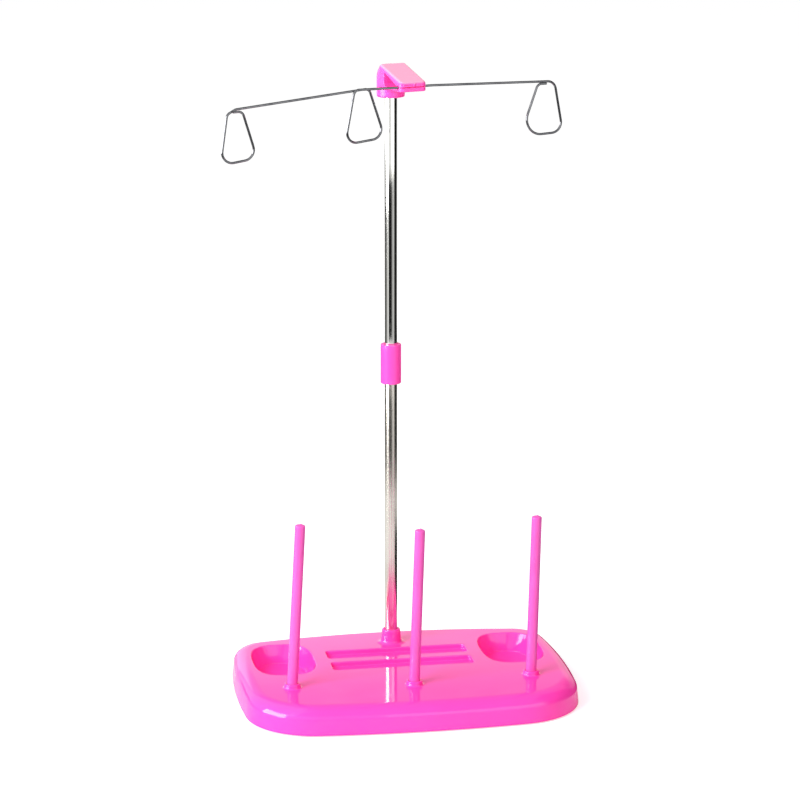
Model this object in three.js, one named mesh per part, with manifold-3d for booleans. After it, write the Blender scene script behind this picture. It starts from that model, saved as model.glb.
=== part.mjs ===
// Thread stand for three cones: a moulded base with two trays, two grooves and three spool pins,
// a two-piece tubular pole with a coupling sleeve, and a clip that holds a bent wire with three
// thread loops. Millimetres, +Z up, the front of the stand toward -Y.
import * as THREE from 'three';
import { mergeVertices } from 'three/addons/utils/BufferGeometryUtils.js';
import Module from 'manifold-3d';

// Clearance between pieces that sit in each other
const CLEARANCE = 0.3;

// Base outline, measured from the pole's axis
const BASE_HALF_WIDTH = 132;
const BASE_FRONT_REACH = 157;
const BASE_BACK_REACH = 36.7;
const FRONT_BOW_RADIUS = 828;
const BACK_BOW_RADIUS = 597;
const SIDE_BOW_RADIUS = 546;
const FRONT_CORNER_RADIUS = 55.5;
const BACK_CORNER_RADIUS = 29;

// Base shell
const BASE_HEIGHT = 21;
const EDGE_RADIUS = 10;
const WALL_DRAFT = 1.1;
const SHELL_WALL = 2.4;
const RIB_THICKNESS = 1.8;
const RIB_RECESS = 6;

// Trays, one on each side
const TRAY_WIDTH = 47.5;
const TRAY_LENGTH = 75;
const TRAY_DEPTH = 14.4;
const TRAY_CORNER_RADIUS = 17;
const TRAY_SIDE_INSET = 40.7;
const TRAY_BACK_INSET = 67.2;
const TRAY_DRAFT = 1.2;
const TRAY_FLOOR_RADIUS = 3;

// Grooves across the middle
const GROOVE_END_GAP = 11.55;
const GROOVE_WIDTH = 18.8;
const GROOVE_DEPTH = 3.8;
const GROOVE_CORNER_RADIUS = 3;
const GROOVE_BACK_INSET = 61.6;
const GROOVE_SPACING = 28.5;
const RIM_RADIUS = 0.8;

// Rubber feet in pockets under the base
const FOOT_DIAMETER = 10;
const FOOT_HEIGHT = 2.6;
const FOOT_PROUD = 1;
const FOOT_POST_WALL = 1.8;
const FOOT_SIDE_INSET = 44;
const FOOT_FRONT_INSET = 27;
const FOOT_BACK_INSET = 18.2;

// Spool pins
const PIN_DIAMETER = 8.4;
const PIN_TIP_DIAMETER = 7.9;
const PIN_LENGTH = 141;
const PIN_DOME_HEIGHT = 1.5;
const PIN_NUB_DIAMETER = 1.4;
const PIN_NUB_HEIGHT = 0.7;
const PIN_SIDE_INSET = 38.3;
const OUTER_PIN_FRONT_INSET = 58.5;
const MIDDLE_PIN_FRONT_INSET = 50;
const LEFT_PIN = { lean: 3.2, seated: 14.5 };
const MIDDLE_PIN = { lean: 2.0, seated: 20.5 };
const RIGHT_PIN = { lean: 1.5, seated: 16.7 };

// Pin collars and sockets
const COLLAR_HEIGHT = 3.6;
const COLLAR_DIAMETER = 12.2;
const COLLAR_FLARE = 1.6;
const PIN_SOCKET_DEPTH = 21.5;

// Pole boss and socket
const BOSS_HEIGHT = 11.4;
const BOSS_DIAMETER = 14.4;
const BOSS_TAPER = 0.9;
const BOSS_FLARE = 3.6;
const BOSS_FLARE_HEIGHT = 3.2;
const BOSS_EDGE_RADIUS = 1.4;
const POLE_SOCKET_DEPTH = 29;

// Pole tubes and coupling sleeve
const POLE_DIAMETER = 10;
const POLE_WALL = 0.9;
const SLEEVE_BOTTOM = 236;
const SLEEVE_LENGTH = 31.6;
const SLEEVE_DIAMETER = 16.4;
const SLEEVE_WEB = 1.6;
const SLEEVE_CHAMFER = 0.7;

// Guide clip
const CLIP_BOTTOM = 462.6;
const CLIP_TURN = 17.1;
const TOWER_DIAMETER = 22;
const TOWER_HEIGHT = 24.8;
const TOWER_TOP_ROUND = 5.5;
const TOWER_TOP_ROUND_HEIGHT = 11;
const TOWER_BOTTOM_RADIUS = 1;
const CLIP_SOCKET_DEPTH = 18.5;
const STRAP_WIDTH = 22.6;
const STRAP_HEIGHT = 26;
const STRAP_BACK = 3;
const STRAP_REACH = 39;
const STRAP_BEVEL = 0.6;
const STRAP_CORNER_RADIUS = 3;
const TONGUE_BOTTOM = 8.2;
const TONGUE_THICKNESS = 1.8;
const CLIP_WALL_FRONT = 10.8;
const ROOF_BACK_THICKNESS = 3.3;
const ROOF_DROP = 10.7;
const ROOF_FRONT_ROUND = 2.2;
const JAW_LENGTH = 7;
const LOWER_JAW_HEIGHT = 3.2;
const MOUTH_GAP = 0.5;

// Thread guide wire
const WIRE_DIAMETER = 2;
const WIRE_SETBACK = 4.5;
const WIRE_STRAIGHT = 18;
const LOOP_PITCH = 2.6;
const NECK_BEND_RADIUS = 4.5;
const FOOT_BEND_RADIUS = 8;
const WIDE_NECK_RADIUS = 7.5;
const WIDE_FOOT_RADIUS = 12;
const ARM_BEND_RADIUS = 20;
const LOOP_TIP_LENGTH = 7.6;
// Each loop's neck and foot lie below the wire's straight stretch by their heights
const LEFT_LOOP = {
  neck: { x: -146, height: -11, width: 11.5, slope: 9.4 },
  foot: { x: -143.2, height: -47.6, width: 29.3, slope: 7.2 },
};
const MIDDLE_LOOP = {
  neck: { x: -41.2, height: 0.3, width: 13.3, slope: 0 },
  foot: { x: -38.7, height: -39.2, width: 34.5, slope: 5.3 },
};
const RIGHT_LOOP = {
  neck: { x: 118.7, height: -4.1, width: 13.4, slope: 7.9 },
  foot: { x: 114.9, height: -44.1, width: 37.2, slope: 2.3 },
};

const wasm = await Module();
wasm.setup();

const degrees = THREE.MathUtils.degToRad;
const deckZ = FOOT_PROUD + BASE_HEIGHT;

// Places on the base, each set in from the nearest side of its outline
const trayX = BASE_HALF_WIDTH - TRAY_SIDE_INSET;
const trayY = BASE_BACK_REACH - TRAY_BACK_INSET;
const grooveLength = 2 * (trayX - GROOVE_END_GAP) - TRAY_WIDTH;
const firstGrooveY = BASE_BACK_REACH - GROOVE_BACK_INSET;
const lastGrooveY = firstGrooveY - GROOVE_SPACING;
const footX = BASE_HALF_WIDTH - FOOT_SIDE_INSET;
const frontFootY = FOOT_FRONT_INSET - BASE_FRONT_REACH;
const backFootY = BASE_BACK_REACH - FOOT_BACK_INSET;
const outerPinX = BASE_HALF_WIDTH - PIN_SIDE_INSET;
const outerPinY = OUTER_PIN_FRONT_INSET - BASE_FRONT_REACH;
const middlePinY = MIDDLE_PIN_FRONT_INSET - BASE_FRONT_REACH;
const pinPlaces = [
  { name: 'spool_pin_left', x: -outerPinX, y: outerPinY, ...LEFT_PIN },
  { name: 'spool_pin_middle', x: 0, y: middlePinY, ...MIDDLE_PIN },
  { name: 'spool_pin_right', x: outerPinX, y: outerPinY, ...RIGHT_PIN },
];

// Merge a geometry's shared vertices and drop the empty triangles at its poles
function weld(geometry) {
  const bare = geometry.clone();
  for (const name of Object.keys(bare.attributes)) {
    if (name !== 'position') {
      bare.deleteAttribute(name);
    }
  }
  const merged = mergeVertices(bare, 1e-4);
  const index = merged.index.array;
  const kept = [];
  for (let i = 0; i < index.length; i += 3) {
    const [a, b, c] = [index[i], index[i + 1], index[i + 2]];
    if (a !== b && b !== c && c !== a) {
      kept.push(a, b, c);
    }
  }
  merged.setIndex(kept);
  return merged;
}

function toSolid(geometry) {
  const welded = weld(geometry);
  const mesh = new wasm.Mesh({
    numProp: 3,
    vertProperties: new Float32Array(welded.attributes.position.array),
    triVerts: new Uint32Array(welded.index.array),
  });
  mesh.merge();
  return new wasm.Manifold(mesh);
}

function toGeometry(solid) {
  const mesh = solid.getMesh();
  const geometry = new THREE.BufferGeometry();
  geometry.setAttribute('position', new THREE.BufferAttribute(mesh.vertProperties, 3));
  geometry.setIndex(new THREE.BufferAttribute(mesh.triVerts, 1));
  geometry.computeVertexNormals();
  return geometry;
}

// Revolve a profile of radius and height about the Z axis
function turned(profile, segments, divisions = 4) {
  const points = profile.getPoints(divisions);
  return weld(new THREE.LatheGeometry(points, segments).rotateX(Math.PI / 2));
}

// Join outlines of equal point counts, stacked from the bottom up, into a closed body
function loft(sections) {
  const count = sections[0].outline.length;
  const positions = [];
  for (const { outline, z } of sections) {
    for (const point of outline) {
      positions.push(point.x, point.y, z);
    }
  }
  const index = [];
  for (let ring = 0; ring < sections.length - 1; ring += 1) {
    for (let i = 0; i < count; i += 1) {
      const a = ring * count + i;
      const b = ring * count + (i + 1) % count;
      index.push(a, b, b + count, a, b + count, a + count);
    }
  }
  const top = (sections.length - 1) * count;
  for (const [a, b, c] of THREE.ShapeUtils.triangulateShape(sections[0].outline, [])) {
    index.push(c, b, a);
  }
  for (const [a, b, c] of THREE.ShapeUtils.triangulateShape(sections.at(-1).outline, [])) {
    index.push(top + a, top + b, top + c);
  }
  const geometry = new THREE.BufferGeometry();
  geometry.setAttribute('position', new THREE.Float32BufferAttribute(positions, 3));
  geometry.setIndex(index);
  return geometry;
}

function arcPoints(center, radius, start, end, steps) {
  const points = [];
  for (let i = 0; i <= steps; i += 1) {
    const angle = start + (end - start) * i / steps;
    points.push(new THREE.Vector2(
      center.x + radius * Math.cos(angle),
      center.y + radius * Math.sin(angle),
    ));
  }
  return points;
}

function withoutRepeats(points) {
  return points.filter((point, i) => point.distanceTo(points.at(i - 1)) > 1e-3);
}

// The rightmost point at the given distances from two centres
function meetingPoint(centerA, distanceA, centerB, distanceB) {
  const between = centerB.clone().sub(centerA);
  const span = between.length();
  const along = (distanceA ** 2 - distanceB ** 2 + span ** 2) / (2 * span);
  const across = Math.sqrt(Math.max(distanceA ** 2 - along ** 2, 0));
  between.normalize();
  const foot = centerA.clone().addScaledVector(between, along);
  const normal = new THREE.Vector2(-between.y, between.x);
  const side = normal.x > 0 ? across : -across;
  return foot.addScaledVector(normal, side);
}

// The base's outline: bowed front, back and sides that meet in round corners
function baseOutline(inset) {
  const middleY = (BASE_BACK_REACH - BASE_FRONT_REACH) / 2;
  const front = new THREE.Vector2(0, FRONT_BOW_RADIUS - BASE_FRONT_REACH);
  const back = new THREE.Vector2(0, BASE_BACK_REACH - BACK_BOW_RADIUS);
  const side = new THREE.Vector2(BASE_HALF_WIDTH - SIDE_BOW_RADIUS, middleY);
  const frontCorner = meetingPoint(
    front, FRONT_BOW_RADIUS - FRONT_CORNER_RADIUS,
    side, SIDE_BOW_RADIUS - FRONT_CORNER_RADIUS,
  );
  const backCorner = meetingPoint(
    back, BACK_BOW_RADIUS - BACK_CORNER_RADIUS,
    side, SIDE_BOW_RADIUS - BACK_CORNER_RADIUS,
  );
  const angle = (from, to) => Math.atan2(to.y - from.y, to.x - from.x);
  const half = [
    ...arcPoints(front, FRONT_BOW_RADIUS - inset, -Math.PI / 2, angle(front, frontCorner), 5),
    ...arcPoints(frontCorner, FRONT_CORNER_RADIUS - inset,
      angle(front, frontCorner), angle(side, frontCorner), 9),
    ...arcPoints(side, SIDE_BOW_RADIUS - inset, angle(side, frontCorner), angle(side, backCorner), 4),
    ...arcPoints(backCorner, BACK_CORNER_RADIUS - inset,
      angle(side, backCorner), angle(back, backCorner), 8),
    ...arcPoints(back, BACK_BOW_RADIUS - inset, angle(back, backCorner), Math.PI / 2, 5),
  ];
  const mirrored = half.map((point) => new THREE.Vector2(-point.x, point.y)).reverse();
  return withoutRepeats([...half, ...mirrored]);
}

function roundedRectangle(width, length, radius, grow, steps) {
  const cornerX = width / 2 - radius;
  const cornerY = length / 2 - radius;
  const corners = [[1, -1], [1, 1], [-1, 1], [-1, -1]];
  return corners.flatMap(([signX, signY], i) => arcPoints(
    new THREE.Vector2(signX * cornerX, signY * cornerY),
    radius + grow,
    (i - 1) * Math.PI / 2,
    i * Math.PI / 2,
    steps,
  ));
}

// The base without its inner features, drawn in on every side by the wall's thickness
function baseBody(wall, bottom, bends) {
  const bendStart = BASE_HEIGHT - EDGE_RADIUS;
  const radius = EDGE_RADIUS - wall;
  const sections = [
    { outline: baseOutline(wall), z: bottom },
  ];
  for (const bend of bends) {
    const inset = WALL_DRAFT + wall + radius * (1 - Math.cos(degrees(bend)));
    sections.push({
      outline: baseOutline(inset),
      z: bendStart + radius * Math.sin(degrees(bend)),
    });
  }
  return toSolid(loft(sections));
}

// A pocket in the deck with a rounded rim, drafted walls and a rounded floor edge
function pocket({ width, length, radius, depth, draft, floorRadius, steps }) {
  const floor = BASE_HEIGHT - depth;
  const outline = (grow) => roundedRectangle(width, length, radius, grow, steps);
  const sections = [];
  for (const bend of [0, 30, 60, 90]) {
    sections.push({
      outline: outline(-draft - floorRadius * (1 - Math.sin(degrees(bend)))),
      z: floor + floorRadius * (1 - Math.cos(degrees(bend))),
    });
  }
  for (const bend of [0, 45, 90]) {
    sections.push({
      outline: outline(RIM_RADIUS * (1 - Math.cos(degrees(bend)))),
      z: BASE_HEIGHT - RIM_RADIUS * (1 - Math.sin(degrees(bend))),
    });
  }
  sections.push({ outline: outline(RIM_RADIUS), z: BASE_HEIGHT + 1 });
  return toSolid(loft(sections));
}

// The walls and floor round a pocket, under the deck
function pocketShell({ width, length, radius, depth, draft, floorRadius, steps }) {
  const bottom = BASE_HEIGHT - depth - SHELL_WALL;
  const outline = (grow) => roundedRectangle(width, length, radius, grow, steps);
  return toSolid(loft([
    { outline: outline(SHELL_WALL - draft - floorRadius), z: bottom },
    { outline: outline(SHELL_WALL - draft), z: bottom + floorRadius },
    { outline: outline(SHELL_WALL), z: BASE_HEIGHT - SHELL_WALL / 2 },
  ]));
}

const tray = {
  width: TRAY_WIDTH,
  length: TRAY_LENGTH,
  radius: TRAY_CORNER_RADIUS,
  depth: TRAY_DEPTH,
  draft: TRAY_DRAFT,
  floorRadius: TRAY_FLOOR_RADIUS,
  steps: 6,
};
const groove = {
  width: grooveLength,
  length: GROOVE_WIDTH,
  radius: GROOVE_CORNER_RADIUS,
  depth: GROOVE_DEPTH,
  draft: 0.3,
  floorRadius: 0.6,
  steps: 3,
};

function pocketPlaces() {
  return [
    { shape: tray, x: -trayX, y: trayY },
    { shape: tray, x: trayX, y: trayY },
    { shape: groove, x: 0, y: firstGrooveY },
    { shape: groove, x: 0, y: lastGrooveY },
  ];
}

// A post that stands on the deck and carries a socket below it
function socketPost({ top, diameter, flare, flareHeight, taper, edge, bottom }) {
  const topRadius = diameter / 2;
  const lowRadius = topRadius + taper;
  const profile = new THREE.Path();
  profile.moveTo(0, bottom);
  profile.lineTo(lowRadius, bottom);
  profile.lineTo(lowRadius, BASE_HEIGHT - SHELL_WALL);
  profile.lineTo(lowRadius + flare, BASE_HEIGHT - SHELL_WALL / 2);
  profile.lineTo(lowRadius + flare, BASE_HEIGHT);
  profile.quadraticCurveTo(lowRadius, BASE_HEIGHT, lowRadius, BASE_HEIGHT + flareHeight);
  profile.lineTo(topRadius, BASE_HEIGHT + top - edge);
  profile.absarc(topRadius - edge, BASE_HEIGHT + top - edge, edge, 0, Math.PI / 2);
  profile.lineTo(0, BASE_HEIGHT + top);
  return toSolid(turned(profile, 28, 2));
}

function footPost() {
  const inner = FOOT_DIAMETER / 2 + CLEARANCE;
  const outer = inner + FOOT_POST_WALL;
  const seat = FOOT_HEIGHT - FOOT_PROUD + CLEARANCE;
  const ventRadius = 2;
  const profile = new THREE.Path();
  profile.moveTo(ventRadius, seat);
  profile.lineTo(inner, seat);
  profile.lineTo(inner, 0);
  profile.lineTo(outer, 0);
  profile.lineTo(outer, BASE_HEIGHT - SHELL_WALL / 2);
  profile.lineTo(inner, BASE_HEIGHT - SHELL_WALL / 2);
  profile.lineTo(inner, seat + FOOT_POST_WALL);
  profile.lineTo(ventRadius, seat + FOOT_POST_WALL);
  profile.lineTo(ventRadius, seat);
  return toSolid(turned(profile, 18));
}

const footPlaces = [
  { name: 'rubber_foot_front_left', x: -footX, y: frontFootY },
  { name: 'rubber_foot_front_right', x: footX, y: frontFootY },
  { name: 'rubber_foot_back_left', x: -footX, y: backFootY },
  { name: 'rubber_foot_back_right', x: footX, y: backFootY },
];

function rib(startX, startY, endX, endY) {
  const length = Math.hypot(endX - startX, endY - startY);
  const height = BASE_HEIGHT - SHELL_WALL / 2 - RIB_RECESS;
  const geometry = new THREE.BoxGeometry(length, RIB_THICKNESS, height);
  geometry.rotateZ(Math.atan2(endY - startY, endX - startX));
  geometry.translate((startX + endX) / 2, (startY + endY) / 2, RIB_RECESS + height / 2);
  return toSolid(geometry);
}

// Ribs tie the sockets to each other and to the outer wall
function ribs() {
  const trayEdge = trayX - TRAY_WIDTH / 2;
  const front = -BASE_FRONT_REACH;
  const lines = [
    [-trayEdge, 0, trayEdge, 0],
    [0, 0, 0, BASE_BACK_REACH],
    [0, lastGrooveY, 0, front],
    [-outerPinX, outerPinY, 0, middlePinY],
    [0, middlePinY, outerPinX, outerPinY],
  ];
  for (const side of [-1, 1]) {
    lines.push(
      [side * outerPinX, outerPinY, side * BASE_HALF_WIDTH, outerPinY],
      [side * outerPinX, trayY - TRAY_LENGTH / 2, side * outerPinX, front],
    );
  }
  return lines.map(([startX, startY, endX, endY]) => rib(startX, startY, endX, endY));
}

function joined(solids) {
  return solids.reduce((whole, solid) => whole.add(solid));
}

// The straight bore for a spool pin, along the pin's own axis
function pinBore(pin) {
  const radius = PIN_DIAMETER / 2 + CLEARANCE;
  const reach = 2;
  const bore = new THREE.CylinderGeometry(radius, radius, PIN_SOCKET_DEPTH + reach, 20);
  bore.rotateX(Math.PI / 2);
  bore.translate(0, 0, (reach - PIN_SOCKET_DEPTH) / 2);
  bore.rotateY(degrees(pin.lean));
  bore.translate(pin.x, pin.y, BASE_HEIGHT + COLLAR_HEIGHT);
  return toSolid(bore);
}

function poleBore() {
  const radius = POLE_DIAMETER / 2 + CLEARANCE;
  const reach = 2;
  const bore = new THREE.CylinderGeometry(radius, radius, POLE_SOCKET_DEPTH + reach, 40);
  bore.rotateX(Math.PI / 2);
  bore.translate(0, 0, BASE_HEIGHT + BOSS_HEIGHT + (reach - POLE_SOCKET_DEPTH) / 2);
  return toSolid(bore);
}

function baseShell() {
  const outer = baseBody(0, 0, [0, 15, 30, 45, 60, 75, 90]);
  const cavity = baseBody(SHELL_WALL, -1, [0, 30, 60, 90]);
  const inner = [...ribs()];
  for (const { shape, x, y } of pocketPlaces()) {
    inner.push(pocketShell(shape).translate([x, y, 0]));
  }
  for (const { x, y } of footPlaces) {
    inner.push(footPost().translate([x, y, 0]));
  }
  const posts = pinPlaces.map(({ x, y }) => socketPost({
    top: COLLAR_HEIGHT,
    diameter: COLLAR_DIAMETER,
    flare: COLLAR_FLARE,
    flareHeight: COLLAR_FLARE,
    taper: 0.3,
    edge: 0.8,
    bottom: BASE_HEIGHT + COLLAR_HEIGHT - PIN_SOCKET_DEPTH - SHELL_WALL,
  }).translate([x, y, 0]));
  posts.push(socketPost({
    top: BOSS_HEIGHT,
    diameter: BOSS_DIAMETER,
    flare: BOSS_FLARE,
    flareHeight: BOSS_FLARE_HEIGHT,
    taper: BOSS_TAPER,
    edge: BOSS_EDGE_RADIUS,
    bottom: BASE_HEIGHT + BOSS_HEIGHT - POLE_SOCKET_DEPTH - SHELL_WALL,
  }));
  let shell = outer.subtract(cavity).add(joined(inner).intersect(outer)).add(joined(posts));
  for (const { shape, x, y } of pocketPlaces()) {
    shell = shell.subtract(pocket(shape).translate([x, y, 0]));
  }
  return toGeometry(shell.subtract(joined([...pinPlaces.map(pinBore), poleBore()])));
}

function rubberFoot() {
  const radius = FOOT_DIAMETER / 2;
  const edge = 0.6;
  const profile = new THREE.Path();
  profile.moveTo(0, 0);
  profile.lineTo(radius - edge, 0);
  profile.quadraticCurveTo(radius, 0, radius, edge);
  profile.lineTo(radius, FOOT_HEIGHT);
  profile.lineTo(0, FOOT_HEIGHT);
  return turned(profile, 20, 2);
}

// A tapered pin with its foot at the origin, a domed tip and the nub left by moulding
function spoolPin() {
  const foot = PIN_DIAMETER / 2;
  const tip = PIN_TIP_DIAMETER / 2;
  const nub = PIN_NUB_DIAMETER / 2;
  const chamfer = 0.6;
  const shoulder = PIN_LENGTH - PIN_DOME_HEIGHT;
  const profile = new THREE.Path();
  profile.moveTo(0, 0);
  profile.lineTo(foot - chamfer, 0);
  profile.lineTo(foot, chamfer);
  profile.lineTo(tip, shoulder);
  profile.quadraticCurveTo(tip * 0.86, PIN_LENGTH - 0.1, nub, PIN_LENGTH);
  profile.lineTo(nub, PIN_LENGTH + PIN_NUB_HEIGHT);
  profile.lineTo(0, PIN_LENGTH + PIN_NUB_HEIGHT);
  return turned(profile, 24);
}

function tube(length) {
  const outer = POLE_DIAMETER / 2;
  const inner = outer - POLE_WALL;
  const profile = new THREE.Path();
  profile.moveTo(inner, 0);
  profile.lineTo(outer, 0);
  profile.lineTo(outer, length);
  profile.lineTo(inner, length);
  profile.lineTo(inner, 0);
  return turned(profile, 40);
}

// A sleeve with a socket from each end and a web between them
function couplingSleeve() {
  const outer = SLEEVE_DIAMETER / 2;
  const inner = POLE_DIAMETER / 2 + CLEARANCE;
  const webBottom = (SLEEVE_LENGTH - SLEEVE_WEB) / 2;
  const webTop = (SLEEVE_LENGTH + SLEEVE_WEB) / 2;
  const profile = new THREE.Path();
  profile.moveTo(0, webBottom);
  profile.lineTo(inner, webBottom);
  profile.lineTo(inner, 0);
  profile.lineTo(outer - SLEEVE_CHAMFER, 0);
  profile.quadraticCurveTo(outer, 0, outer, SLEEVE_CHAMFER);
  profile.lineTo(outer, SLEEVE_LENGTH - SLEEVE_CHAMFER);
  profile.quadraticCurveTo(outer, SLEEVE_LENGTH, outer - SLEEVE_CHAMFER, SLEEVE_LENGTH);
  profile.lineTo(inner, SLEEVE_LENGTH);
  profile.lineTo(inner, webTop);
  profile.lineTo(0, webTop);
  return turned(profile, 40, 2);
}

// The clip's heights above its bottom, shared by its jaws and the wire between them
const lowerJawTop = TONGUE_BOTTOM + LOWER_JAW_HEIGHT;
const upperJawBottom = lowerJawTop + MOUTH_GAP;
const wireHeight = (lowerJawTop + upperJawBottom) / 2;
const wireForward = STRAP_REACH - WIRE_SETBACK;

function clipTower() {
  const radius = TOWER_DIAMETER / 2;
  const topRadius = radius - TOWER_TOP_ROUND;
  const roundStart = TOWER_HEIGHT - TOWER_TOP_ROUND_HEIGHT;
  const profile = new THREE.Path();
  profile.moveTo(0, 0);
  profile.lineTo(radius - TOWER_BOTTOM_RADIUS, 0);
  profile.quadraticCurveTo(radius, 0, radius, TOWER_BOTTOM_RADIUS);
  profile.lineTo(radius, roundStart);
  profile.absellipse(topRadius, roundStart, TOWER_TOP_ROUND, TOWER_TOP_ROUND_HEIGHT, 0, Math.PI / 2);
  profile.lineTo(0, TOWER_HEIGHT);
  return toSolid(turned(profile, 40));
}

// Side view of the strap: forward along x, up along y, with the mouth open at its front
function strapProfile() {
  const front = STRAP_REACH;
  const jaw = front - JAW_LENGTH;
  const tongueTop = TONGUE_BOTTOM + TONGUE_THICKNESS;
  const roofAt = (forward) => STRAP_HEIGHT
    - ROOF_DROP * (forward - STRAP_BACK) / (front - STRAP_BACK);
  const shape = new THREE.Shape();
  shape.moveTo(STRAP_BACK, TONGUE_BOTTOM);
  shape.lineTo(front, TONGUE_BOTTOM);
  shape.lineTo(front, lowerJawTop);
  shape.lineTo(jaw + 1, lowerJawTop);
  shape.quadraticCurveTo(jaw, lowerJawTop, jaw - 1, tongueTop);
  shape.lineTo(CLIP_WALL_FRONT + 1.5, tongueTop);
  shape.quadraticCurveTo(CLIP_WALL_FRONT, tongueTop, CLIP_WALL_FRONT, tongueTop + 1.5);
  shape.lineTo(CLIP_WALL_FRONT, roofAt(CLIP_WALL_FRONT) - ROOF_BACK_THICKNESS);
  shape.lineTo(jaw - 1, upperJawBottom + 0.6);
  shape.quadraticCurveTo(jaw, upperJawBottom, jaw + 1, upperJawBottom);
  shape.lineTo(front, upperJawBottom);
  shape.lineTo(front, roofAt(front) - ROOF_FRONT_ROUND);
  shape.quadraticCurveTo(front, roofAt(front), front - ROOF_FRONT_ROUND, roofAt(front - ROOF_FRONT_ROUND));
  shape.lineTo(STRAP_BACK, STRAP_HEIGHT);
  return shape;
}

// The plan of the strap, with round front corners, forward toward -y
function strapPlan() {
  const half = STRAP_WIDTH / 2;
  const radius = STRAP_CORNER_RADIUS;
  const shape = new THREE.Shape();
  shape.moveTo(half, 0);
  shape.lineTo(-half, 0);
  shape.lineTo(-half, radius - STRAP_REACH);
  shape.absarc(radius - half, radius - STRAP_REACH, radius, Math.PI, Math.PI * 1.5);
  shape.lineTo(half - radius, -STRAP_REACH);
  shape.absarc(half - radius, radius - STRAP_REACH, radius, -Math.PI / 2, 0);
  return shape;
}

function guideClip() {
  const side = new THREE.ExtrudeGeometry(strapProfile(), {
    depth: STRAP_WIDTH - 2 * STRAP_BEVEL,
    bevelThickness: STRAP_BEVEL,
    bevelSize: STRAP_BEVEL,
    bevelOffset: -STRAP_BEVEL,
    bevelSegments: 2,
    curveSegments: 3,
  });
  side.translate(0, 0, STRAP_BEVEL - STRAP_WIDTH / 2);
  side.rotateX(Math.PI / 2);
  side.rotateZ(-Math.PI / 2);
  const plan = new THREE.ExtrudeGeometry(strapPlan(), {
    depth: STRAP_HEIGHT + 2,
    bevelEnabled: false,
    curveSegments: 3,
  });
  plan.translate(0, 0, -1);
  const channelRadius = WIRE_DIAMETER / 2 + CLEARANCE;
  const channel = new THREE.CylinderGeometry(channelRadius, channelRadius, STRAP_WIDTH + 2, 16);
  channel.rotateZ(Math.PI / 2);
  channel.translate(0, -wireForward, wireHeight);
  const socketRadius = POLE_DIAMETER / 2 + CLEARANCE;
  const socket = new THREE.CylinderGeometry(socketRadius, socketRadius, CLIP_SOCKET_DEPTH + 1, 40);
  socket.rotateX(Math.PI / 2);
  socket.translate(0, 0, (CLIP_SOCKET_DEPTH - 1) / 2);
  const clip = toSolid(side)
    .intersect(toSolid(plan))
    .add(clipTower())
    .subtract(toSolid(channel))
    .subtract(toSolid(socket));
  return toGeometry(clip);
}

// Corners of a thread loop in the order neck left, foot left, foot right, neck right
function loopCorners({ neck, foot }) {
  const ends = ({ x, height, width, slope }) => {
    const halfX = width / 2 * Math.cos(degrees(slope));
    const halfZ = width / 2 * Math.sin(degrees(slope));
    return [[x - halfX, height - halfZ], [x + halfX, height + halfZ]];
  };
  const [neckLeft, neckRight] = ends(neck);
  const [footLeft, footRight] = ends(foot);
  return { neckLeft, neckRight, footLeft, footRight };
}

// The wire's bends from the left tip to the right tip, each with its step toward the back
function wireBends() {
  const left = loopCorners(LEFT_LOOP);
  const middle = loopCorners(MIDDLE_LOOP);
  const right = loopCorners(RIGHT_LOOP);
  const bend = ([x, height], step, radius) => ({
    at: new THREE.Vector3(x, step * LOOP_PITCH - wireForward, wireHeight + height),
    radius,
  });
  return [
    bend([left.neckRight[0] - LOOP_TIP_LENGTH, left.neckRight[1]], 0, 0),
    bend(left.neckRight, 0, NECK_BEND_RADIUS),
    bend(left.footRight, 0.3, FOOT_BEND_RADIUS),
    bend(left.footLeft, 0.9, FOOT_BEND_RADIUS),
    bend(left.neckLeft, 1, NECK_BEND_RADIUS),
    bend([left.neckLeft[0] + LOOP_TIP_LENGTH * 0.9, left.neckLeft[1] + 3.4], 1, NECK_BEND_RADIUS),
    bend(middle.neckRight, 1, NECK_BEND_RADIUS),
    bend(middle.footRight, 0.8, FOOT_BEND_RADIUS),
    bend(middle.footLeft, 0.2, FOOT_BEND_RADIUS),
    bend(middle.neckLeft, 0, NECK_BEND_RADIUS),
    bend([-WIRE_STRAIGHT, 0], 0, ARM_BEND_RADIUS),
    bend([WIRE_STRAIGHT, 0], 0, ARM_BEND_RADIUS),
    bend(right.neckRight, 0, WIDE_NECK_RADIUS),
    bend(right.footRight, 0.1, FOOT_BEND_RADIUS),
    bend(right.footLeft, 0.7, WIDE_FOOT_RADIUS),
    bend(right.neckLeft, 1, NECK_BEND_RADIUS),
    bend([right.neckLeft[0] + LOOP_TIP_LENGTH, right.neckLeft[1]], 1, 0),
  ];
}

// Stations along the wire: the straight ends, and every 18 degrees round each bend
function wireStations(bends) {
  const stations = [];
  bends.forEach(({ at, radius }, i) => {
    if (i === 0 || i === bends.length - 1) {
      const other = bends[i === 0 ? 1 : i - 1].at;
      const tangent = other.clone().sub(at).normalize().multiplyScalar(i === 0 ? 1 : -1);
      stations.push({ point: at, tangent });
      return;
    }
    const incoming = at.clone().sub(bends[i - 1].at).normalize();
    const outgoing = bends[i + 1].at.clone().sub(at).normalize();
    const turn = incoming.angleTo(outgoing);
    const axis = incoming.clone().cross(outgoing).normalize();
    const start = at.clone().addScaledVector(incoming, -radius * Math.tan(turn / 2));
    const toStart = incoming.clone().cross(axis).multiplyScalar(radius);
    const center = start.clone().sub(toStart);
    const steps = Math.max(1, Math.round(turn / degrees(18)));
    for (let step = 0; step <= steps; step += 1) {
      const angle = turn * step / steps;
      const spoke = toStart.clone().applyAxisAngle(axis, angle);
      stations.push({
        point: center.clone().add(spoke),
        tangent: incoming.clone().applyAxisAngle(axis, angle),
      });
    }
  });
  return stations;
}

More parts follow.
